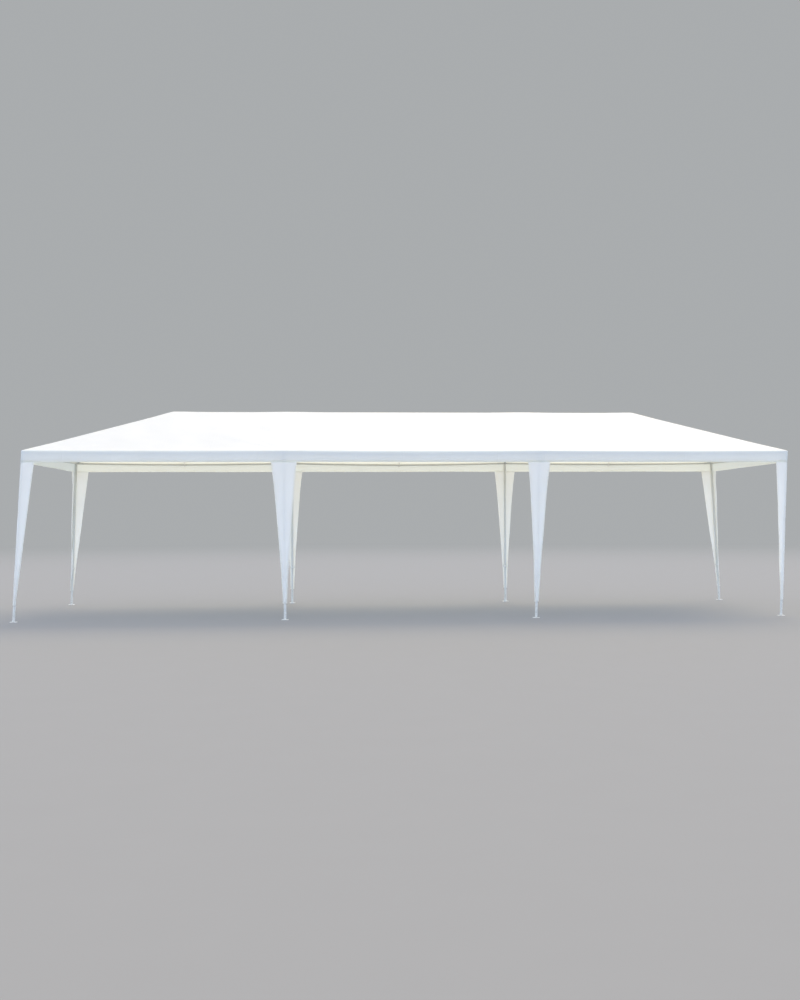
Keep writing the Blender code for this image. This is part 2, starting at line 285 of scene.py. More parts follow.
HUBS = {place: hub(place) for place in PLACES}
MID_X = abs(HUBS["front_mid_left"][0])
INSET = HALF_DEPTH - abs(HUBS["front_left"][1])
LEG_TOPS = points_of("leg_back_mid_left") - LEG_AXES["back_mid_left"][1]
LEG_RADIUS = np.linalg.norm(LEG_TOPS[LEG_TOPS[:, 2] > -END_BAND], axis=1).max()


def ridge_hub(x):
    return np.array([x, 0.0, RIDGE - INSET * math.hypot(1, PITCH)])


def beam_joint(node):
    """Centre and radius of the sleeve at an eave beam's mid joint."""
    points = points_of(node)
    along = 0 if node.endswith("bay") else 1
    middle = (points[:, along].max() + points[:, along].min()) / 2
    sleeve = points[np.abs(points[:, along] - middle) < SLEEVE_REACH]
    return sleeve.mean(axis=0), np.ptp(sleeve[:, 1 - along]) / 2


BEAMS = {
    node.removeprefix("eave_beam_"): beam_joint(node)
    for node in frame["nodes"]
    if node.startswith("eave_beam_")
}
SAG = {name: HUBS["front_left"][2] - centre[2] for name, (centre, _) in BEAMS.items()}


# Small mathematics


def unit(vector):
    return vector / np.linalg.norm(vector)


def smooth_step(value):
    share = np.clip(value, 0.0, 1.0)
    return share * share * (3 - 2 * share)


def smooth_min(first, second, width):
    """The lesser of two values, with the corner between them rounded over a width."""
    near = np.maximum(width - np.abs(first - second), 0.0) / width
    return np.minimum(first, second) - near * near * width / 4


def waves(x, y, length, seed):
    """A smooth field of crossing waves about a length apart, of unit spread."""
    draw = np.random.default_rng(seed)
    total = 0.0
    for _ in range(WAVES_IN_LAYER):
        turn = draw.uniform(0, math.tau)
        pitch = length * draw.uniform(*PITCH_SPREAD)
        phase = draw.uniform(0, math.tau)
        along = x * math.cos(turn) + y * math.sin(turn)
        total = total + np.cos(math.tau * along / pitch + phase)
    return total / math.sqrt(WAVES_IN_LAYER / 2)


def layered(x, y, layers):
    """Waves of several layers, each given as its share, length and seed."""
    return sum(share * waves(x, y, length, seed) for share, length, seed in layers)


def smooth_curve(knots, values, at):
    """A curve through values given at rising knots, with no kinks between them."""
    slopes = np.gradient(values, knots)
    slot = np.clip(np.searchsorted(knots, at) - 1, 0, len(knots) - 2)
    width = knots[slot + 1] - knots[slot]
    share = np.clip((at - knots[slot]) / width, 0.0, 1.0)
    start = values[slot] * (1 + 2 * share) * (1 - share) ** 2
    end = values[slot + 1] * share**2 * (3 - 2 * share)
    leave = slopes[slot] * width * share * (1 - share) ** 2
    arrive = slopes[slot + 1] * width * share**2 * (share - 1)
    return start + end + leave + arrive


# Mesh making


def new_object(name, data):
    made = bpy.data.objects.new(name, data)
    bpy.context.scene.collection.objects.link(made)
    return made


def new_piece(name, points, faces, material, facts):
    """A smooth mesh object that rides on the frame, with named values at its points."""
    mesh = bpy.data.meshes.new(name)
    mesh.from_pydata(np.asarray(points).tolist(), [], faces)
    for fact, values in facts.items():
        attribute = mesh.attributes.new(fact, "FLOAT", "POINT")
        attribute.data.foreach_set("value", np.asarray(values, np.float32).ravel())
    mesh.materials.append(material)
    mesh.shade_smooth()
    mesh.set_sharp_from_angle(angle=math.radians(CLOTH_SHARP))
    piece = new_object(name, mesh)
    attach(piece, BODY)
    return piece


def joined(rows):
    """Named values of a whole mesh, from those of its rows or parts."""
    return {fact: np.concatenate([row[fact] for row in rows]) for fact in rows[0]}


def solid_piece(name, parts, material):
    """One piece from several closed solids, given as points, faces and named values."""
    points, faces = [], []
    for part_points, part_faces, _ in parts:
        faces += [tuple(len(points) + corner for corner in face) for face in part_faces]
        points += list(part_points)
    facts = joined([part_facts for _, _, part_facts in parts])
    piece = new_piece(name, points, faces, material, facts)
    bm = bmesh.new()
    bm.from_mesh(piece.data)
    bmesh.ops.recalc_face_normals(bm, faces=bm.faces)
    bm.to_mesh(piece.data)
    bm.free()
    piece.data.set_sharp_from_angle(angle=math.radians(SOLID_SHARP))


def grid_faces(rows, columns, first=0, loop=False):
    """Quads over a grid of points, row after row, whose columns may close into a loop."""
    faces = []
    for row in range(rows - 1):
        for column in range(columns if loop else columns - 1):
            here = first + row * columns + column
            beside = first + row * columns + (column + 1) % columns
            faces.append((here, beside, beside + columns, here + columns))
    return faces


# The cover: roof, fold and valance in one sheet


def bay_of(along, row):
    """For places along a side: how far into its bay each is (0 at a leg, 1 in the middle)
    and how far that bay's beam sags."""
    if row in ("left", "right"):
        return 1 - (along / HALF_DEPTH) ** 2, np.full_like(along, SAG[f"{row}_end"])
    share = (np.abs(along) - MID_X) / (HALF_LENGTH - MID_X)
    middle = np.abs(along) < MID_X
    depth = np.where(middle, 1 - (along / MID_X) ** 2, 4 * share * (1 - share))
    side = np.where(along < 0, SAG[f"{row}_left_bay"], SAG[f"{row}_right_bay"])
    return np.clip(depth, 0, 1), np.where(middle, SAG[f"{row}_mid_bay"], side)


def from_edges(x, y):
    """Distances in from the nearer end and side. They are equal along the hips, because the
    one from the end is shortened as the end slope is flatter than the side slopes."""
    return (HALF_LENGTH - np.abs(x)) / END_STRETCH, HALF_DEPTH - np.abs(y)


def eave_values(x, y):
    """Fold radius and drop of the fold at the nearest edge of the cover."""
    sag = np.zeros_like(x)
    from_end, from_side = from_edges(x, y)
    by_end = from_end < from_side
    for row, along, here in (
        ("front", x, ~by_end & (y < 0)),
        ("back", x, ~by_end & (y >= 0)),
        ("left", y, by_end & (x < 0)),
        ("right", y, by_end & (x >= 0)),
    ):
        depth, beam = bay_of(along, row)
        sag = np.where(here, depth * beam, sag)
    return FOLD_RADIUS + FOLD_RADIUS_PER_SAG * sag, FOLD_SAG_SHARE * sag


def fold_height(distance, radius):
    """Height of the taut cover at a distance in from its edge: a round fold, then the slope."""
    reach = radius * (1 - math.cos(FOLD_TURN))
    start = EAVE + reach * PITCH - radius * math.sin(FOLD_TURN)
    arc = start + np.sqrt(np.maximum(radius**2 - (radius - distance) ** 2, 0.0))
    return np.where(distance < reach, arc, EAVE + distance * PITCH)


def panel_sag(x, y):
    """How far the cloth hangs between the eave, the rafters, the hips and the ridge."""
    from_end, from_side = from_edges(x, y)
    up = np.clip(from_side / HALF_DEPTH, 0, 1)
    span = np.maximum(HALF_LENGTH - from_side * END_STRETCH - MID_X, TOUCH)
    across = np.clip((np.abs(x) - MID_X) / span, 0, 1)
    outer = 4 * across * (1 - across) * span / (HALF_LENGTH - MID_X)
    side = np.where(np.abs(x) < MID_X, 1 - (x / MID_X) ** 2, outer)
    end_up = np.clip(from_end / HALF_DEPTH, 0, 1)
    end_span = np.maximum(HALF_DEPTH - from_end, TOUCH)
    end = (1 - np.clip(y / end_span, -1, 1) ** 2) * end_span / HALF_DEPTH
    return PANEL_SAG * np.where(
        from_end < from_side, 4 * end_up * (1 - end_up) * end, 4 * up * (1 - up) * side
    )


def nearest(x, y, places):
    """Distance in plan to the nearest of some places."""
    gap = np.full_like(x, HALF_LENGTH)
    for place in places:
        gap = np.minimum(gap, np.hypot(x - place[0], y - place[1]))
    return gap


def anchors():
    """Points where the cover is held or pushed up: place in plan, and the fan of folds there."""
    legs = [(HUBS[place][:2], CORNER_FAN if place in CORNERS else MID_FAN) for place in PLACES]
    ridge = (-HALF_RIDGE, -MID_X, MID_X, HALF_RIDGE)
    return legs + [(np.array([x, 0.0]), RIDGE_FAN) for x in ridge]


def tube_gap(x, y):
    """Distance in plan to the nearest tube that carries the roof."""
    from_end, from_side = from_edges(x, y)
    hip = np.abs(from_end - from_side) / math.sqrt(2)
    rafter = np.abs(np.abs(x) - MID_X)
    ridge = np.hypot(np.maximum(np.abs(x) - HALF_RIDGE, 0.0), y)
    return np.minimum(np.minimum(hip, rafter), ridge)


def tension_folds(x, y):
    """Fans of shallow folds that run out from where the frame holds the cover."""
    total = np.zeros_like(x)
    for number, (centre, (folds, height, reach)) in enumerate(anchors()):
        out_x, out_y = x - centre[0], y - centre[1]
        away = np.hypot(out_x, out_y)
        turn = np.arctan2(out_y, out_x)

        def sway(amount, beats, shift):
            return amount * np.sin(beats * turn + shift * number)

        wander = sum(sway(*part) for part in FAN_WANDER)
        rise = 1 - np.exp(-((away / FAN_START) ** 2))
        strength = height * (1 + sway(*FAN_VARIES)) * rise * np.exp(-away / reach)
        total += strength * np.cos(folds * turn + wander)
    return total


def edge_knots():
    """Distances in from an edge at which the cover's mesh has a line of points."""
    turn = FOLD_TURN * np.arange(FOLD_STEPS + 1) / FOLD_STEPS
    fold = FOLD_RADIUS * (1 - np.cos(turn))
    cell = HALF_DEPTH / CELLS_UP_SLOPE
    even = cell * np.arange(1, CELLS_UP_SLOPE + 1)
    between = (fold[-1] + even[0]) / 2
    return np.concatenate([fold, [between], even])


def grid_lines(half, knots, half_flat):
    """Places of the mesh lines from edge to edge: close at the edges, even in the middle."""
    low, high = -half + knots, half - knots[::-1]
    if half_flat <= TOUCH:
        return np.concatenate([low, high[1:]])
    cells = round(2 * half_flat / knots[-1] * CELLS_UP_SLOPE)
    middle = np.linspace(-half_flat, half_flat, cells + 1)[1:-1]
    return np.concatenate([low, middle, high])


def rim_normals(x, y):
    """Outward directions at the rim's points, turning through the rounded corners."""
    over_x = np.maximum(np.abs(x) - (HALF_LENGTH - CORNER_RADIUS), 0.0)
    over_y = np.maximum(np.abs(y) - (HALF_DEPTH - CORNER_RADIUS), 0.0)
    size = np.maximum(np.hypot(over_x, over_y), TINY)
    return np.sign(x) * over_x / size, np.sign(y) * over_y / size


def round_corners(x, y):
    """Plan points near a corner move so that lines along the edges turn it in an arc."""
    over_x = CORNER_RADIUS - (HALF_LENGTH - np.abs(x))
    over_y = CORNER_RADIUS - (HALF_DEPTH - np.abs(y))
    inside = (over_x > 0) & (over_y > 0)
    reach = np.maximum(over_x, over_y)
    scale = np.where(inside, reach / np.maximum(np.hypot(over_x, over_y), TINY), 1.0)
    new_x = HALF_LENGTH - CORNER_RADIUS + over_x * scale
    new_y = HALF_DEPTH - CORNER_RADIUS + over_y * scale
    return np.where(inside, np.sign(x) * new_x, x), np.where(inside, np.sign(y) * new_y, y)


def lean_shift(x, y, z):
    """How far the cover's corners follow the leaning corner legs below the eave."""
    shifts = {place: leg_x(place, z) - leg_x(place, EAVE) for place in CORNERS}
    right = (x + HALF_LENGTH) / (2 * HALF_LENGTH)
    back = (y + HALF_DEPTH) / (2 * HALF_DEPTH)
    front_line = shifts["front_left"] * (1 - right) + shifts["front_right"] * right
    back_line = shifts["back_left"] * (1 - right) + shifts["back_right"] * right
    return np.where(z < EAVE, front_line * (1 - back) + back_line * back, 0.0)


def roof_heights(x, y):
    from_end, from_side = from_edges(x, np.hypot(y, RIDGE_ROUNDING))
    distance = np.maximum(smooth_min(from_end, from_side, HIP_ROUNDING), 0.0)
    radius, fold_drop = eave_values(x, y)
    height = fold_height(distance, radius) - fold_drop * np.exp(-distance / DROP_FADE)
    to_hub = nearest(x, y, [centre for centre, _ in anchors()])
    inside = smooth_step(distance / EDGE_FADE)
    loose = smooth_step(tube_gap(x, y) / TUBE_REACH)
    soft = WAVE_HEIGHT * layered(x, y, ROOF_LAYERS)
    height -= panel_sag(x, y) + REST_DIP * smooth_step(to_hub / HUB_REACH) * inside
    return height + (tension_folds(x, y) + soft) * loose * inside


def rim(lines_x, lines_y):
    """Indices of the roof grid's outer points, in order round the cover from the back left."""
    grid = np.arange(len(lines_x) * len(lines_y)).reshape(len(lines_x), -1)
    left, front, right, back = grid[0, :0:-1], grid[:-1, 0], grid[-1, :-1], grid[:0:-1, -1]
    return np.concatenate([left, front, right, back]).tolist()


def cover_mesh():
    """Points, faces and named values of the cover."""
    knots = edge_knots()
    lines_x = grid_lines(HALF_LENGTH, knots * END_STRETCH, HALF_RIDGE)
    lines_y = grid_lines(HALF_DEPTH, knots, 0.0)
    grid_x, grid_y = (part.ravel() for part in np.meshgrid(lines_x, lines_y, indexing="ij"))
    roof_x, roof_y = round_corners(grid_x, grid_y)
    roof_z = roof_heights(grid_x, grid_y)
    from_end, from_side = from_edges(grid_x, grid_y)
    roof_in = np.minimum(from_end, from_side)

    edge = rim(lines_x, lines_y)
    edge_x, edge_y, top = roof_x[edge], roof_y[edge], roof_z[edge]
    out_x, out_y = rim_normals(edge_x, edge_y)
    step = np.hypot(np.diff(edge_x), np.diff(edge_y))
    run = np.concatenate([[0.0], np.cumsum(step)])
    to_leg = nearest(edge_x, edge_y, HUBS.values())
    free = smooth_step((to_leg - LEG_HOLD) / LEG_HOLD_FADE)
    sway = layered(edge_x, edge_y, VALANCE_LAYERS)
    hem = HEM + HEM_WAVE * free * layered(edge_x, edge_y, HEM_LAYERS)

    points = [np.column_stack([roof_x + lean_shift(grid_x, grid_y, roof_z), roof_y, roof_z])]
    roof = {
        "warp": grid_x,
        "weft": grid_y,
        "seam_gap": np.abs(from_end - from_side) / math.sqrt(2),
        "seam_run": roof_in,
        "hem_gap": roof_in + EAVE - HEM,
        "hem_run": np.zeros_like(grid_x),
    }
    roof["hem_run"][edge] = run
    facts = [roof]
    shares = [(row / VALANCE_ROWS, 0.0, 0.0) for row in range(1, VALANCE_ROWS + 1)]
    shares += [
        (1.0, CLOTH_FOLD / 2, -HEM_EDGE),
        (1.0, CLOTH_FOLD, 0.0),
        (1.0, CLOTH_FOLD, HEM_WIDTH / 2),
        (1.0, CLOTH_FOLD / 2, HEM_WIDTH),
    ]
    for share, inward, lift in shares:
        z = top + (hem - top) * share + lift
        hang = np.clip((top - z) / (top - hem), 0, 1)
        bulge = VALANCE_WAVE * free * hang**HANG_POWER * sway - inward
        x = edge_x + out_x * bulge + lean_shift(edge_x, edge_y, z)
        points.append(np.column_stack([x, edge_y + out_y * bulge, z]))
        below = EAVE - z
        row = {"warp": edge_x + out_x * below, "weft": edge_y + out_y * below}
        row.update({"seam_gap": roof["seam_gap"][edge], "seam_run": -below})
        row.update({"hem_gap": z - hem, "hem_run": run})
        facts.append(row)

    count_y, ring = len(lines_y), len(edge)
    faces = []
    for i in range(len(lines_x) - 1):
        for j in range(count_y - 1):
            a = i * count_y + j
            b, c, d = a + count_y, a + count_y + 1, a + 1
            mid_x, mid_y = (lines_x[i] + lines_x[i + 1]) / 2, (lines_y[j] + lines_y[j + 1]) / 2
            end_gap, side_gap = from_edges(mid_x, mid_y)
            if abs(end_gap - side_gap) > TOUCH / 10:
                faces.append((a, b, c, d))
            elif mid_x * mid_y > 0:
                faces += [(a, b, c), (a, c, d)]
            else:
                faces += [(a, b, d), (b, c, d)]
    first = len(grid_x)
    for column in range(ring):
        beside = (column + 1) % ring
        faces.append((edge[column], first + column, first + beside, edge[beside]))
    faces += [face[::-1] for face in grid_faces(len(shares), ring, first, loop=True)]
    return np.concatenate(points), faces, joined(facts)


def make_cover(material):
    points, faces, facts = cover_mesh()
    piece = new_piece("cover_cloth", points, faces, material, facts)
    sides = ("front", "back", "left", "right")
    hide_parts(*(f"{kind}_{side}" for kind in ("roof", "valance") for side in sides))


# Leg covers


def cover_widths(place, heights):
    """Widths of a CAD leg cover along the length, smoothed between its own levels."""
    points = points_of(f"leg_cover_{place}")
    levels = np.unique(np.round(points[:, 2], LEVEL_DIGITS))
    spreads = [np.ptp(points[np.abs(points[:, 2] - level) < TOUCH, 0]) for level in levels]
    return smooth_curve(levels, np.array(spreads), heights)


def cover_depth(place, height, away):
    """How far in a leg cover lies, at a distance along it from its middle or its corner."""
    bend = COVER_BEND * smooth_step((BEND_START - height) / (BEND_START - BEND_END))
    if place in CORNERS:
        return COVER_INSET + bend / 2 * np.maximum(away - INSET, 0.0) ** 2
    turn = away * bend
    return COVER_INSET + away * np.sinc(turn / math.tau) * np.sin(turn / 2)


def mid_section(place, height, width):
    """Plan points across a mid leg cover at a height, their inward normals and their shares."""
    along = np.linspace(-width / 2, width / 2, COVER_COLUMNS + 1)
    depth = cover_depth(place, height, along)
    x = leg_x(place, height) + along
    outline = np.column_stack([x, Y_SIGN[place] * (HALF_DEPTH - depth)])
    slope = np.gradient(depth, along)
    size = np.hypot(1, slope)
    normals = np.column_stack([slope / size, np.full_like(along, -Y_SIGN[place]) / size])
    return outline, normals, along / (width / 2)


def corner_section(place, height, wing):
    """Plan points round a corner leg cover at a height, their inward normals and their shares."""
    sides = np.array([X_SIGN[place], Y_SIGN[place]])
    corner = sides * (HALF_LENGTH, HALF_DEPTH) + (leg_x(place, height) - leg_x(place, EAVE), 0.0)
    flat = np.linspace(wing, CORNER_RADIUS, COVER_COLUMNS // 2 + 1)
    depth = cover_depth(place, height, flat)
    outline, normals, share = [], [], []
    for away, inward in zip(flat, depth):
        outline.append(corner - sides * (away, inward))
        normals.append((0.0, -sides[1]))
        share.append(-away / wing)
    centre = corner - sides * (CORNER_RADIUS + COVER_INSET)
    for turn in np.linspace(0, math.pi / 2, CORNER_STEPS + 1)[1:-1]:
        outward = sides * (math.sin(turn), math.cos(turn))
        outline.append(centre + outward * CORNER_RADIUS)
        normals.append(-outward)
        share.append(0.0)
    bend = END_BEND * smooth_step((HEM - height) / END_BEND_FADE)
    depth = depth + bend / 2 * (flat - CORNER_RADIUS) ** 2
    for away, inward in zip(flat[::-1], depth[::-1]):
        outline.append(corner - sides * (inward, away))
        normals.append((-sides[0], 0.0))
        share.append(away / wing)
    return np.array(outline), np.array(normals), np.array(share)


def hemmed(outline, normals, width):
    """Adds a turned hem at both ends of a line of plan points, on its inner side."""

    def turned(end, before, normal):
        along = unit(end - before)
        return [
            end - along * width + normal * CLOTH_FOLD / 2,
            end - along * width * HEM_TURN + normal * CLOTH_FOLD,
            end - along * HEM_EDGE + normal * CLOTH_FOLD,
            end + along * HEM_EDGE + normal * CLOTH_FOLD / 2,
        ]

    first = turned(outline[0], outline[1], normals[0])
    last = turned(outline[-1], outline[-2], normals[-1])
    return np.array([*first, *outline, *last[::-1]])


def cover_rows(bottom):
    """Heights of a leg cover's rows and how far in each lies: the turned hem at the foot,
    then the cloth up to the edge that is tucked behind the valance."""
    hem = [
        (bottom + COVER_HEM_WIDTH, CLOTH_FOLD * 1.5),
        (bottom + COVER_HEM_WIDTH / 2, CLOTH_FOLD * 2),
        (bottom + HEM_EDGE, CLOTH_FOLD * 2),
        (bottom - HEM_EDGE, CLOTH_FOLD),
    ]
    rows = [(height, 0.0) for height in np.linspace(bottom, HEM - COVER_TUCK, COVER_ROWS)]
    behind = CLOTH_FOLD + 2 * HEM_EDGE
    rows += [(HEM - HEM_EDGE, behind / 2), (HEM + COVER_TUCK / 2, behind), (HEM + COVER_TUCK, behind)]
    return hem + rows


def make_leg_cover(place, material, number):
    bottom = points_of(f"leg_cover_{place}")[:, 2].min() + HEM_EDGE
    rows = cover_rows(bottom)
    heights = np.array([height for height, _ in rows])
    widths = cover_widths(place, heights)
    corner = place in CORNERS
    section = corner_section if corner else mid_section
    points, facts = [], []
    for (height, inward), width in zip(rows, widths):
        outline, normals, share = section(place, height, width)
        reach = width if corner else width / 2
        side = share * reach
        up = np.clip((height - bottom) / (HEM - bottom), 0.0, 1.0)
        at = np.full_like(side, height)
        ripple = waves(side, at / RIPPLE_STRETCH, RIPPLE_LENGTH, COVER_SEED + number)
        ripple += SLOW_RIPPLE * waves(side, at, SLOW_LENGTH, SLOW_SEED + number)
        ripple *= COVER_WAVE * math.sin(math.pi * up) ** RIPPLE_POWER * np.abs(share) ** 0.5
        outline = outline + normals * (inward - ripple)[:, None]
        ring = hemmed(outline, normals, min(COVER_HEM_WIDTH, width / 4))
        level = np.full(len(ring), height)
        points.append(np.column_stack([ring, level]))
        turned = [COVER_HEM_WIDTH, COVER_HEM_WIDTH * HEM_TURN, 0.0, 0.0]
        edge = np.concatenate([turned, reach * (1 - np.abs(share)), turned[::-1]])
        across = np.pad(side, len(turned), "edge")
        row = {"warp": across, "weft": level}
        row["hem_gap"] = np.minimum(edge, max(height - bottom, 0.0))
        row["hem_run"] = np.where(edge < height - bottom, level, across)
        row.update({"seam_gap": np.abs(HEM + HEM_WIDTH / 2 - level), "seam_run": across})
        facts.append(row)
    faces = grid_faces(len(points), len(points[0]))
    mirrored = X_SIGN[place] * Y_SIGN[place] if corner else Y_SIGN[place]
    if mirrored > 0:
        faces = [face[::-1] for face in faces]
    points, name = np.concatenate(points), f"leg_cover_cloth_{place}"
    piece = new_piece(name, points, faces, material, joined(facts))
    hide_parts(f"leg_cover_{place}")
    flat_widths = (2 if corner else 1) * widths + 2 * COVER_HEM_WIDTH
    lowest = heights.argmin()
    area = np.trapz(flat_widths[lowest:], heights[lowest:]) + flat_widths[0] * COVER_HEM_WIDTH


# Webbing: straps that hold the leg covers, and ties that hold the cover to the eave beams


def ribbon(path, across, half_width):
    """Points, faces and woven directions of a strip of webbing along a path."""
    path = np.asarray(path)
    tangent = np.gradient(path, axis=0)
    normal = np.cross(tangent, across)
    normal /= np.linalg.norm(normal, axis=1)[:, None]
    run = np.concatenate([[0.0], np.cumsum(np.linalg.norm(np.diff(path, axis=0), axis=1))])
    thick, shoulder = STRAP_THICKNESS / 2, half_width - STRAP_THICKNESS / 2
    ring = [(-half_width, 0), (-shoulder, thick), (shoulder, thick)]
    ring += [(-a, -b) for a, b in ring]
    points = [point + across * a + out * b for point, out in zip(path, normal) for a, b in ring]
    faces = grid_faces(len(path), len(ring), loop=True)
    last = len(points) - len(ring)
    faces += [tuple(range(len(ring)))[::-1], tuple(range(last, len(points)))]
    facts = {"warp": np.tile([a for a, _ in ring], len(path)), "weft": np.repeat(run, len(ring))}
    return points, faces, facts


def arc(centre, radius, start, end):
    """Points round part of a circle, between two angles in degrees."""
    turns = np.radians(np.linspace(start, end, ARC_STEPS + 1))
    return [(centre[0] + radius * math.cos(t), centre[1] + radius * math.sin(t)) for t in turns]


def strap_path(place):
    """A strap from the cover, round the pole and back, as distances along and in from the cover."""
    width = cover_widths(place, np.array([STRAP_HEIGHT]))[0]
    hug = LEG_RADIUS + STRAP_THICKNESS
    corner = place in CORNERS
    if corner:
        middle, least, angles = INSET, STRAP_EDGE, CORNER_WRAP
    else:
        middle, least, angles = 0.0, STRAP_THICKNESS, MID_WRAP
    near = middle + hug + STRAP_THICKNESS
    reach = min(STRAP_REACH, (width if corner else width / 2) - STRAP_EDGE)
    ends = [
        (away, cover_depth(place, STRAP_HEIGHT, away) + STRAP_THICKNESS)
        for away in (max(reach, near + least), near)
    ]
    back = [(inward, away) if corner else (-away, inward) for away, inward in ends[::-1]]
    return ends + arc((middle, INSET), hug, *angles) + back


def make_leg_straps(place, material):
    path = []
    for along, inward in strap_path(place):
        if place in CORNERS:
            lean = leg_x(place, STRAP_HEIGHT) - leg_x(place, EAVE)
            x = X_SIGN[place] * (HALF_LENGTH - along) + lean
        else:
            x = leg_x(place, STRAP_HEIGHT) + along
        path.append((x, Y_SIGN[place] * (HALF_DEPTH - inward), STRAP_HEIGHT))
    strap = ribbon(path, np.array([0.0, 0.0, 1.0]), STRAP_HALF_WIDTH)
    solid_piece(f"leg_straps_{place}", [strap], material)


def make_eave_ties(material):
    """A tie at the joint of each eave beam, sewn to the valance and to the roof."""
    parts = []
    for name, (centre, radius) in BEAMS.items():
        by_end = name.endswith("end")
        side = math.copysign(1.0, centre[0] if by_end else centre[1])
        half = HALF_LENGTH if by_end else HALF_DEPTH

        def in_plan(inward):
            out = side * (half - inward)
            return (out, centre[1]) if by_end else (centre[0], out)

        tube = (half - abs(centre[0] if by_end else centre[1]), centre[2])
        profile = [(STRAP_THICKNESS, centre[2] - drop) for drop in (TIE_DROP, TIE_DROP / 2)]
        profile += arc(tube, radius + STRAP_THICKNESS, *TIE_WRAP)
        for inward in (TIE_REACH, TIE_REACH + TIE_DROP / 2):
            x, y = in_plan(inward)
            height = roof_heights(np.array([x]), np.array([y]))[0]
            profile.append((inward, height - 2 * STRAP_THICKNESS))
        path = [(*in_plan(inward), height) for inward, height in profile]
        across = np.array([not by_end, by_end, False], float)
        parts.append(ribbon(path, across, TIE_HALF_WIDTH))
    solid_piece("eave_ties", parts, material)


# Small steel parts


def socket_arm(node, hub, towards):
    """Unit direction, reach and radius of the connector's socket that points a given way."""
    points = points_of(node) - hub
    towards = unit(towards)
    along = points @ towards
    rim = points[along > along.max() - SOCKET_RIM]
    direction = rim.mean(axis=0)
    reach = np.linalg.norm(direction)
    direction = direction / reach
    off = np.linalg.norm(rim - np.outer(rim @ direction, direction), axis=1)
    return direction, reach, off.max()


def connector_arms():
    """Every socket: its hub, direction, reach, radius and the way its button faces."""
    down, found = np.array([0.0, 0.0, -1.0]), []
    for place, hub_point in HUBS.items():
        x_in, y_in = np.array([-X_SIGN[place], 0, 0.0]), np.array([0, -Y_SIGN[place], 0.0])
        if place in CORNERS:
            kind, ridge_x, beside = "corner", HALF_RIDGE, (y_in, x_in)
        else:
            kind, ridge_x, beside = "eave", MID_X, (-x_in, y_in)
        up = ridge_hub(X_SIGN[place] * ridge_x) - hub_point
        foot = LEG_AXES[place][0] - hub_point
        for way, face in ((x_in, y_in), beside, (up, down), (foot, y_in)):
            arm = socket_arm(f"{kind}_connector_{place}", hub_point, way)
            found.append((hub_point, *arm, face))
    for side, sign in (("left", -1), ("right", 1)):
        peak, tee = ridge_hub(sign * HALF_RIDGE), ridge_hub(sign * MID_X)
        hips = [HUBS[f"{row}_{side}"] - peak for row in ("front", "back")]
        rafters = [HUBS[f"{row}_mid_{side}"] - tee for row in ("front", "back")]
        for node, hub_point, ways in (
            (f"peak_connector_{side}", peak, [tee - peak, *hips]),
            (f"ridge_connector_{side}", tee, [peak - tee, tee - peak, *rafters]),
        ):
            found += [(hub_point, *socket_arm(node, hub_point, way), down) for way in ways]
    return found


def dome(centre, outward):
    """A low round button that stands out of a surface. ASKEW is a way that no button faces."""
    steps, rings = BUTTON_STEPS, BUTTON_RINGS
    side = unit(np.cross(outward, ASKEW))
    up = np.cross(outward, side)
    points = []
    for ring in range(rings):
        turn = ring / rings * math.pi / 2
        for step in range(steps):
            angle = math.tau * step / steps
            flat = side * math.cos(angle) + up * math.sin(angle)
            flat = flat * BUTTON_RADIUS * math.cos(turn)
            points.append(centre + flat + outward * BUTTON_RISE * math.sin(turn))
    points.append(centre + outward * BUTTON_RISE)
    faces = grid_faces(rings, steps, loop=True) + [tuple(range(steps))]
    first = (rings - 1) * steps
    faces += [(first + step, first + (step + 1) % steps, len(points) - 1) for step in range(steps)]
    return points, faces, {}


def make_buttons(material):
    parts = []
    for hub_point, direction, reach, radius, face in connector_arms():
        outward = unit(face - direction * (face @ direction))
        centre = hub_point + direction * (reach - BUTTON_BACK)
        parts.append(dome(centre + outward * (radius - BUTTON_RISE / 4), outward))
    solid_piece("spring_buttons", parts, material)


def make_foot_welds(material):
    """A round weld bead where each leg meets its foot plate."""
    ring_faces = grid_faces(WELD_STEPS, WELD_SIDES, loop=True)
    last = (WELD_STEPS - 1) * WELD_SIDES
    for turn in range(WELD_SIDES):
        beside = (turn + 1) % WELD_SIDES
        ring_faces.append((last + turn, last + beside, beside, turn))
    parts = []
    for place in PLACES:
        foot, top = LEG_AXES[place]
        levels = np.unique(np.round(points_of(f"leg_{place}")[:, 2], LEVEL_DIGITS))
        centre = foot + (top - foot) * levels[1] / top[2]
        points = []
        for step in range(WELD_STEPS):
            angle = math.tau * step / WELD_STEPS
            out = np.array([math.cos(angle), math.sin(angle), 0.0])
            bead = WELD_RADIUS * (1 + WELD_UNEVEN * math.sin(WELD_LUMPS * angle))
            for turn in np.linspace(0, math.tau, WELD_SIDES, endpoint=False):
                rise = np.array([0, 0, bead * math.sin(turn)])
                points.append(centre + out * (LEG_RADIUS + bead * math.cos(turn)) + rise)
        parts.append((points, ring_faces, {}))
    solid_piece("foot_welds", parts, material)


# Finishes


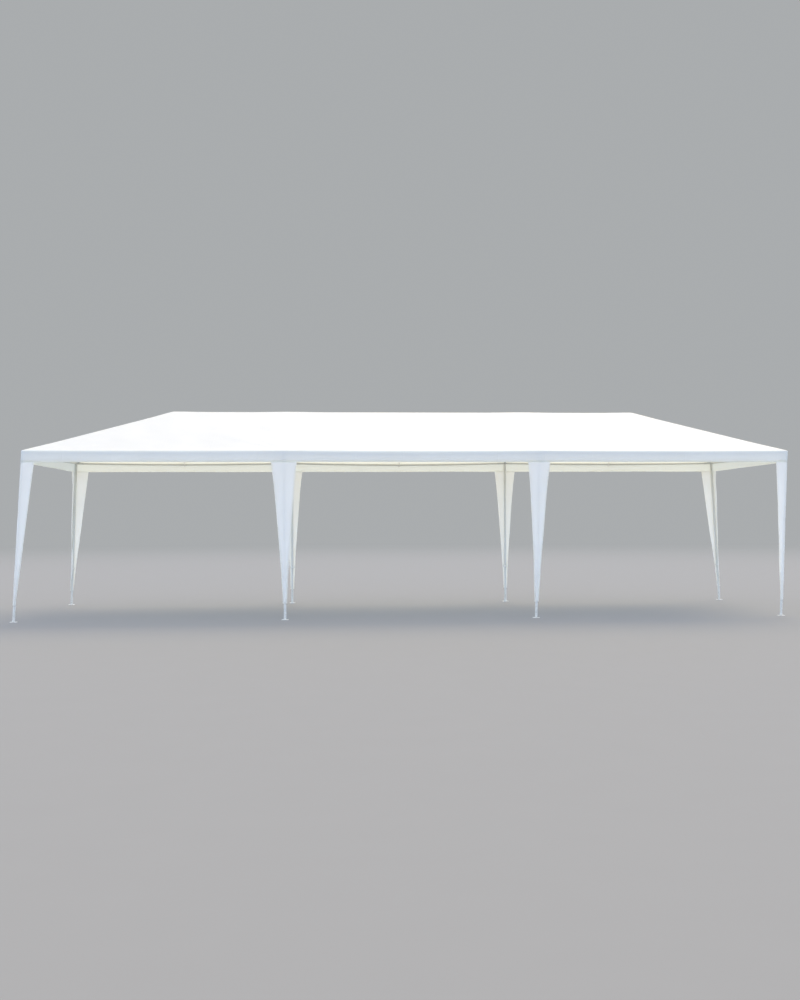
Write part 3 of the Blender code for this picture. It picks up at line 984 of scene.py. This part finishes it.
class Finish:
    """The node tree of a material or of the sky, built by short calls."""

    def __init__(self, owner):
        owner.use_nodes = True
        self.owner = owner
        self.tree = owner.node_tree
        self.tree.nodes.clear()

    def add(self, kind, inputs, **settings):
        """A node of a kind. Inputs are numbers, colours or the sockets of other nodes."""
        made = self.tree.nodes.new("ShaderNode" + kind)
        for name, value in settings.items():
            setattr(made, name, value)
        for name, value in inputs.items():
            if isinstance(value, bpy.types.NodeSocket):
                self.tree.links.new(value, made.inputs[name])
            else:
                made.inputs[name].default_value = value
        return made

    def math(self, operation, first, second=0.0, third=0.0):
        return self.add("Math", {0: first, 1: second, 2: third}, operation=operation).outputs[0]

    def times(self, first, second):
        return self.math("MULTIPLY", first, second)

    def wave(self, value, length):
        return self.math("SINE", self.times(value, math.tau / length))

    def band(self, value, low, high, at_low=0.0, at_high=1.0):
        """Runs smoothly from one level to another as a value passes from low to high."""
        inputs = {"Value": value, "From Min": low, "From Max": high, "To Min": at_low, "To Max": at_high}
        return self.add("MapRange", inputs, interpolation_type="SMOOTHSTEP").outputs["Result"]

    def mix(self, share, first, second):
        """A blend of two colours, which are inputs 6 and 7 of a Mix node."""
        return self.add("Mix", {0: share, 6: first, 7: second}, data_type="RGBA").outputs[2]

    def stain(self, base, mask, share, colour):
        """Lays a share of a colour over a base where a mask is 1."""
        return self.mix(self.times(mask, share), base, colour)

    def value_of(self, fact):
        return self.add("Attribute", {}, attribute_name=fact).outputs["Fac"]

    def place(self):
        return self.add("TexCoord", {}).outputs["Object"]

    def height_in(self, place):
        return self.add("SeparateXYZ", {0: place}).outputs["Z"]

    def noise(self, scale, detail, roughness):
        inputs = {"Vector": self.place(), "Scale": scale, "Detail": detail, "Roughness": roughness}
        return self.add("TexNoise", inputs).outputs["Fac"]

    def bump(self, height, distance=0.001, strength=1.0):
        inputs = {"Height": height, "Distance": distance, "Strength": strength}
        return self.add("Bump", inputs).outputs["Normal"]

    def relief(self, *layers):
        """Bump from layers that add up, each a value and its height in millimetres."""
        total = 0.0
        for value, height in layers:
            total = self.math("MULTIPLY_ADD", value, height, total)
        return self.bump(total)

    def surface(self, base, rough, normal, metal=0.0):
        inputs = {"Base Color": base, "Roughness": rough, "Metallic": metal, "Normal": normal}
        return self.add("BsdfPrincipled", inputs).outputs[0]

    def glow(self, colour, normal):
        """Light that comes through from the other side."""
        return self.add("BsdfTranslucent", {"Color": colour, "Normal": normal}).outputs[0]

    def blend(self, share, first, second):
        return self.add("MixShader", {0: share, 1: first, 2: second}).outputs[0]

    def close(self, shader, output="OutputMaterial"):
        self.add(output, {"Surface": shader})
        return self.owner


def new_finish(name):
    return Finish(bpy.data.materials.new(name))


def rgba(colour, share=1.0):
    """A colour, or a share of it, as a node's input takes it."""
    return (*(part * share for part in colour), 1.0)


def stitches(finish, kind, at):
    """A row of stitches at a distance from a seam or edge: 1 on the thread, 0 beside it."""
    off = finish.math("SUBTRACT", finish.value_of(f"{kind}_gap"), at)
    line = finish.band(finish.math("ABSOLUTE", off), *THREAD_EDGES, 1.0, 0.0)
    beat = finish.wave(finish.value_of(f"{kind}_run"), STITCH_PITCH)
    return finish.times(line, finish.band(beat, *DASH_EDGES))


def crease_lines(finish, fact, pitch, drift):
    """The lines left where the cover lay folded: 1 on a line, 0 away from it."""
    along = finish.math("ADD", finish.value_of(fact), drift)
    away = finish.math("PINGPONG", along, pitch / 2)
    return finish.band(away, 0.0, CREASE_WIDTH, 1.0, 0.0)


def cloth_finish(name, colour, through, share, hem_edge, creased):
    """Coated woven plastic cloth that lets some light through, and less at a seam.

    Each of a hem's two layers lets through the root of what one layer does elsewhere, so that
    the hem is about as light as the cloth beside it.
    """
    finish = new_finish(name)
    seam = finish.band(finish.value_of("seam_gap"), SEAM_HALF, SEAM_HALF + LAYER_EDGE, 1.0, 0.0)
    hem = finish.band(finish.value_of("hem_gap"), hem_edge, hem_edge + LAYER_EDGE, 1.0, 0.0)
    seam_thread = stitches(finish, "seam", SEAM_STITCH)
    hem_thread = stitches(finish, "hem", hem_edge - HEM_STITCH)
    thread = finish.math("MAXIMUM", seam_thread, hem_thread)
    cloud = finish.noise(2.2, 4.0, 0.55)
    fine = finish.noise(38.0, 3.0, 0.6)
    low = finish.band(finish.height_in(finish.place()), 0.15, 0.6, 1.0, 0.0)
    dusty = finish.times(low, finish.band(fine, 0.35, 0.8))

    base = finish.mix(finish.band(cloud, 0.3, 0.75), rgba(colour), rgba(colour, 0.975))
    base = finish.stain(base, thread, 0.3, rgba(colour, 0.8))
    base = finish.stain(base, dusty, 0.14, rgba(DUST_COLOUR))

    weave = finish.times(*(finish.wave(finish.value_of(way), 2 * TAPE_PITCH) for way in ("warp", "weft")))
    layers = [(weave, 0.1), (finish.math("MAXIMUM", seam, hem), 0.5), (thread, -0.7), (fine, 0.4)]
    if creased:
        lines = [crease_lines(finish, *crease) for crease in CREASES]
        layers.append((finish.math("MAXIMUM", *lines), 0.8))
    normal = finish.relief(*layers)
    surface = finish.surface(base, finish.band(cloud, 0.2, 0.8, 0.44, 0.58), normal)
    tint = finish.mix(hem, rgba(through), rgba([math.sqrt(part) for part in through]))
    lets = finish.math("MULTIPLY_ADD", seam, -SEAM_LOSS * share, share)
    lets = finish.math("MULTIPLY_ADD", hem, math.sqrt(share) - share, lets)
    return finish.close(finish.blend(lets, surface, finish.glow(tint, normal)))


def webbing_finish():
    """Polyester webbing: ribs across a herringbone, slightly grey."""
    finish = new_finish("webbing")
    slant = finish.math("PINGPONG", finish.value_of("warp"), HERRINGBONE)
    rib = finish.wave(finish.math("ADD", finish.value_of("weft"), slant), RIB_PITCH)
    base = finish.mix(finish.band(rib, -1.0, 1.0), rgba(WEBBING_COLOUR, 0.9), rgba(WEBBING_COLOUR))
    normal = finish.relief((rib, 0.12), (finish.noise(900.0, 3.0, 0.6), 0.1))
    glow = finish.glow(rgba(WEBBING_COLOUR), normal)
    return finish.close(finish.blend(0.3, finish.surface(base, 0.85, normal), glow))


def zinc_finish():
    """Bright zinc plate on small spring steel parts, dulled in patches."""
    finish = new_finish("zinc_plate")
    patch = finish.noise(260.0, 4.0, 0.6)
    base = finish.mix(finish.band(patch, 0.35, 0.7), rgba(ZINC_COLOUR), rgba(DULL_COLOUR))
    rough = finish.band(patch, 0.3, 0.75, 0.28, 0.5)
    normal = finish.bump(patch, 0.0003, 0.3)
    return finish.close(finish.surface(base, rough, normal, metal=1.0))


def paint_finish(name, colour, rough):
    """Powder coat on steel: a fine orange peel, scuffs, and soil near the ground."""
    finish = new_finish(name)
    peel = finish.noise(420.0, 2.0, 0.5)
    cloud = finish.noise(5.0, 5.0, 0.6)
    scuff = finish.noise(70.0, 6.0, 0.7)
    low = finish.band(finish.height_in(finish.place()), 0.0, 0.3, 1.0, 0.0)
    soiled = finish.times(low, finish.band(scuff, 0.42, 0.72))
    base = finish.mix(finish.band(cloud, 0.35, 0.75), rgba(colour), rgba(colour, 0.93))
    base = finish.stain(base, soiled, 0.45, rgba(SOIL_COLOUR))
    base = finish.stain(base, finish.band(scuff, 0.68, 0.75), 0.3, rgba(WORN_COLOUR))
    gloss = finish.band(cloud, 0.2, 0.8, rough, rough + 0.12)
    return finish.close(finish.surface(base, gloss, finish.relief((peel, 0.05), (scuff, 0.04))))


# Stage


def make_camera():
    data = bpy.data.cameras.new("camera")
    data.sensor_width = SENSOR
    data.lens = FOCAL_LENGTH
    data.shift_x = CAMERA_SHIFT
    camera = new_object("camera", data)
    camera.location = CAMERA_PLACE
    turns = (90 + CAMERA_TILT, CAMERA_ROLL, -CAMERA_TURN)
    camera.rotation_euler = [math.radians(turn) for turn in turns]
    bpy.context.scene.camera = camera


def make_light():
    data = bpy.data.lights.new("sun", "SUN")
    data.energy = SUN_STRENGTH
    data.color = SUN_COLOUR
    data.angle = math.radians(SUN_SOFTNESS)
    level, turn = math.radians(SUN_ELEVATION), math.radians(SUN_AZIMUTH)
    towards = Vector((math.cos(level) * math.sin(turn), math.cos(level) * math.cos(turn), math.sin(level)))
    sun = new_object("sun", data)
    sun.rotation_mode = "QUATERNION"
    sun.rotation_quaternion = towards.to_track_quat("Z", "Y")


def make_sky():
    """A soft sky that lights the tent, with the backdrop's colour where the camera sees it."""
    world = bpy.data.worlds.new("sky")
    bpy.context.scene.world = world
    sky = Finish(world)
    up = sky.height_in(sky.add("TexCoord", {}).outputs["Generated"])
    overhead = sky.band(up, HORIZON_TOP, OVERHEAD_START)
    colour = sky.mix(overhead, rgba(HORIZON_COLOUR), rgba(OVERHEAD_COLOUR))
    light = sky.add("Background", {"Color": colour, "Strength": SKY_STRENGTH}).outputs[0]
    backdrop = sky.add("Background", {"Color": rgba(BACKDROP_COLOUR)}).outputs[0]
    seen = sky.add("LightPath", {}).outputs["Is Camera Ray"]
    sky.close(sky.blend(seen, light, backdrop), "OutputWorld")
    bpy.context.scene.view_settings.view_transform = "Standard"


def floor_finish():
    """Matt paint that fades into the backdrop's colour far away."""
    finish = new_finish("floor_paint")
    base = finish.mix(finish.noise(3.0, 4.0, 0.5), rgba(FLOOR_COLOUR), rgba(FLOOR_COLOUR, 0.97))
    inputs = {"Base Color": base, "Roughness": 0.9, "Specular IOR Level": 0.1}
    inputs.update({"Emission Color": rgba(BACKDROP_COLOUR), "Emission Strength": FLOOR_GLOW})
    matt = finish.add("BsdfPrincipled", inputs).outputs[0]
    far = finish.add("Emission", {"Color": rgba(BACKDROP_COLOUR)}).outputs[0]
    away = finish.add("VectorMath", {0: finish.place()}, operation="LENGTH").outputs["Value"]
    return finish.close(finish.blend(finish.band(away, FADE_START, FADE_END), matt, far))


def make_floor():
    corners = [(x * FLOOR_HALF, y * FLOOR_HALF, 0.0) for x, y in ((-1, -1), (1, -1), (1, 1), (-1, 1))]
    mesh = bpy.data.meshes.new("floor")
    mesh.from_pydata(corners, [], [(0, 1, 2, 3)])
    mesh.materials.append(floor_finish())
    new_object("floor", mesh)


def paint_frame():
    """Powder coat on the tubes and connectors of the frame."""
    tube = paint_finish("tube_paint", TUBE_COLOUR, 0.34)
    joint = paint_finish("joint_paint", JOINT_COLOUR, 0.40)
    for name, node in frame["nodes"].items():
        if name.startswith(("roof", "valance", "leg_cover")):
            continue
        node.data.materials.clear()
        node.data.materials.append(joint if "connector" in name else tube)
    return tube


def main():
    make_camera()
    make_light()
    make_sky()
    make_floor()
    roof_cloth = cloth_finish("roof_cloth", ROOF_SHADE_TINTED_COLOUR, ROOF_THROUGH, ROOF_SHARE, HEM_WIDTH, True)
    cover_look = (COVER_LIT_COLOUR, COVER_THROUGH, COVER_SHARE, COVER_HEM_WIDTH, False)
    cover_cloth = cloth_finish("cover_cloth", *cover_look)
    webbing, zinc = webbing_finish(), zinc_finish()
    make_cover(roof_cloth)
    for number, place in enumerate(PLACES):
        make_leg_cover(place, cover_cloth, number)
        make_leg_straps(place, webbing)
    make_eave_ties(webbing)
    make_buttons(zinc)
    make_foot_welds(paint_frame())


main()
